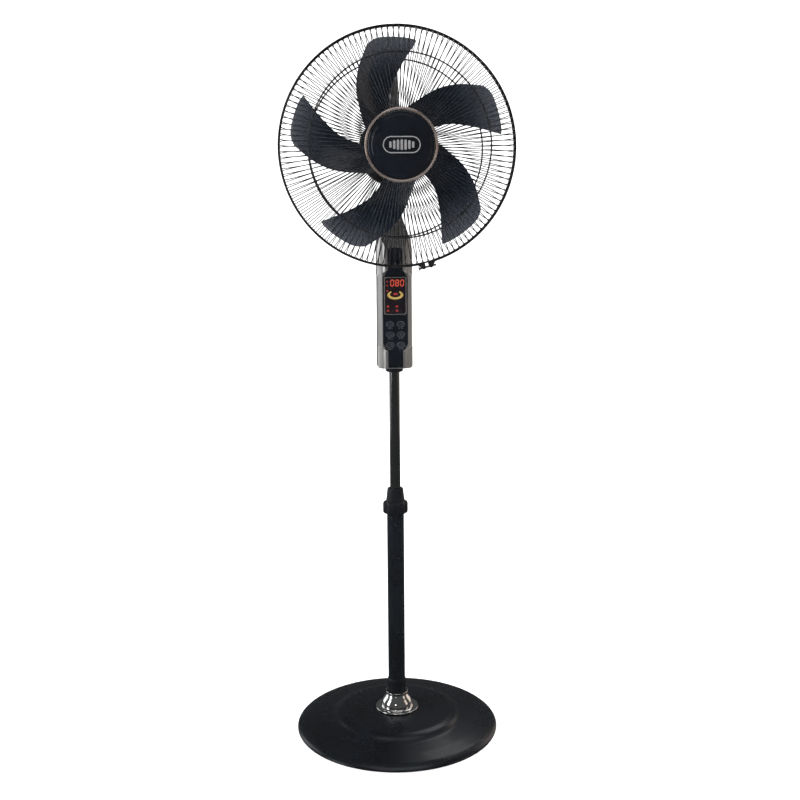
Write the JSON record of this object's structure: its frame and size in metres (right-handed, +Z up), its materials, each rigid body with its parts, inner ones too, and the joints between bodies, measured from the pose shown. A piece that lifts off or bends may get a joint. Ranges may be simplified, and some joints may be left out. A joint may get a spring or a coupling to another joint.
{
  "type": "pedestal fan",
  "caption": "Free-standing fan: round weighted base, telescopic pole with lock nut, control column with display and keys, and a swinging, tilting guarded fan head.",
  "frame": {"origin": "centre of the round base on the floor, under the pole", "axes": "+Z up along the pole, -Y the way the fan blows, +X to the right of someone facing it"},
  "size_m": [0.426, 0.4, 1.352],
  "materials": {
    "black_enamel": "semi-gloss baked black enamel, faintly blue",
    "black_moulding": "satin to semi-gloss near-black moulded plastic",
    "bright_chrome": "mirror chrome",
    "tube_chrome": "satin chromed steel tube",
    "champagne_silver": "metallic champagne-silver paint",
    "gloss_black": "high-gloss black",
    "display_glass": "dark tinted window over lit segments",
    "key_grey": "satin dark grey keys",
    "bronze_chrome": "warm bronze chrome",
    "guard_wire": "black epoxy-coated steel wire",
    "smoked_blade": "smoked dark blue-grey translucent plastic",
    "rubber": "matt rubber",
    "plated_steel": "zinc-plated steel",
    "cast_iron": "raw cast iron",
    "motor_steel": "laminated and pressed steel",
    "nylon": "natural nylon",
    "circuit_green": "green solder mask"
  },
  "bodies": {
    "stand": {"base_cover": "black_enamel", "base_plate": "plated_steel", "base_weight": "cast_iron", "rubber_foot_1": "rubber", "rubber_foot_2": "rubber", "rubber_foot_3": "rubber", "rubber_foot_4": "rubber", "pole_socket": "plated_steel", "base_bolt": "plated_steel", "base_bell_trim": "bright_chrome", "outer_tube": "black_enamel", "tube_foot_sleeve": "black_moulding", "collet_seat": "nylon"},
    "lock_nut": {"height_lock_nut": "black_moulding"},
    "mast": {"inner_tube": "tube_chrome", "glide_bush": "nylon", "column_collar": "black_moulding", "clamp_screw": "black_moulding", "front_shell": "champagne_silver", "rear_shell": "black_moulding", "control_fascia": "gloss_black", "display_frame": "champagne_silver", "display_window": "display_glass", "signal_eye": "display_glass", "control_board": "circuit_green", "cord_inlet": "rubber", "shell_screw": "plated_steel", "neck_bush": "nylon", "swing_motor": "plated_steel"},
    "key_1": {"key_1": "key_grey"},
    "key_2": {"key_2": "key_grey"},
    "key_3": {"key_3": "key_grey"},
    "key_4": {"key_4": "key_grey"},
    "key_5": {"key_5": "key_grey"},
    "key_6": {"key_6": "key_grey"},
    "pinion": {"swing_pinion": "nylon"},
    "yoke": {"yoke_post": "plated_steel", "swing_gear": "nylon", "tilt_yoke": "cast_iron", "tilt_bolt": "plated_steel", "tilt_nut": "plated_steel"},
    "head": {"motor_bracket": "cast_iron", "motor_stator": "motor_steel", "front_bearing": "motor_steel", "rear_bearing": "motor_steel", "front_end_bell": "motor_steel", "rear_end_bell": "motor_steel", "motor_front_cover": "black_moulding", "motor_rear_cover": "champagne_silver", "rear_guard": "guard_wire", "rear_guard_nut": "black_moulding", "front_guard": "guard_wire", "guard_hoop": "guard_wire", "hoop_screw": "plated_steel", "hub_badge": "gloss_black", "badge_ring": "bronze_chrome"},
    "rotor": {"motor_shaft": "plated_steel", "motor_rotor": "motor_steel", "fan_blade": "smoked_blade", "blade_nut": "black_moulding"}
  },
  "joints": [
    {"name": "lock_nut_turn", "type": "hinge", "parent": "stand", "child": "lock_nut", "pos_m": [0, 0, 0.46], "axis": [0, 0, 1], "range_deg": [0, 180]},
    {"name": "height_slide", "type": "slide", "parent": "stand", "child": "mast", "axis": [0, 0, 1], "range_m": [-0.2, 0.06]},
    {"name": "key_1_press", "type": "slide", "parent": "mast", "child": "key_1", "axis": [0, 1, 0], "range_m": [0, 0.001], "stiffness_N_per_m": 400},
    {"name": "key_2_press", "type": "slide", "parent": "mast", "child": "key_2", "axis": [0, 1, 0], "range_m": [0, 0.001], "stiffness_N_per_m": 400},
    {"name": "key_3_press", "type": "slide", "parent": "mast", "child": "key_3", "axis": [0, 1, 0], "range_m": [0, 0.001], "stiffness_N_per_m": 400},
    {"name": "key_4_press", "type": "slide", "parent": "mast", "child": "key_4", "axis": [0, 1, 0], "range_m": [0, 0.001], "stiffness_N_per_m": 400},
    {"name": "key_5_press", "type": "slide", "parent": "mast", "child": "key_5", "axis": [0, 1, 0], "range_m": [0, 0.001], "stiffness_N_per_m": 400},
    {"name": "key_6_press", "type": "slide", "parent": "mast", "child": "key_6", "axis": [0, 1, 0], "range_m": [0, 0.001], "stiffness_N_per_m": 400},
    {"name": "head_swing", "type": "hinge", "parent": "mast", "child": "yoke", "pos_m": [0, 0, 1.036], "axis": [0, 0, 1], "range_deg": [-40, 40]},
    {"name": "pinion_spin", "type": "hinge", "parent": "mast", "child": "pinion", "pos_m": [0, 0.01812, 0.943], "axis": [0, 0, 1], "range_deg": [-81, 81]},
    {"name": "head_tilt", "type": "hinge", "parent": "yoke", "child": "head", "pos_m": [0, 0, 1.057], "axis": [-1, 0, 0], "range_deg": [-10, 20]},
    {"name": "fan_spin", "type": "hinge", "parent": "head", "child": "rotor", "pos_m": [0, -0.115, 1.139], "axis": [0, 1, 0], "continuous": true}
  ],
  "couplings": [
    {"joint": "pinion_spin", "follows": "head_swing", "ratio": -2}
  ]
}
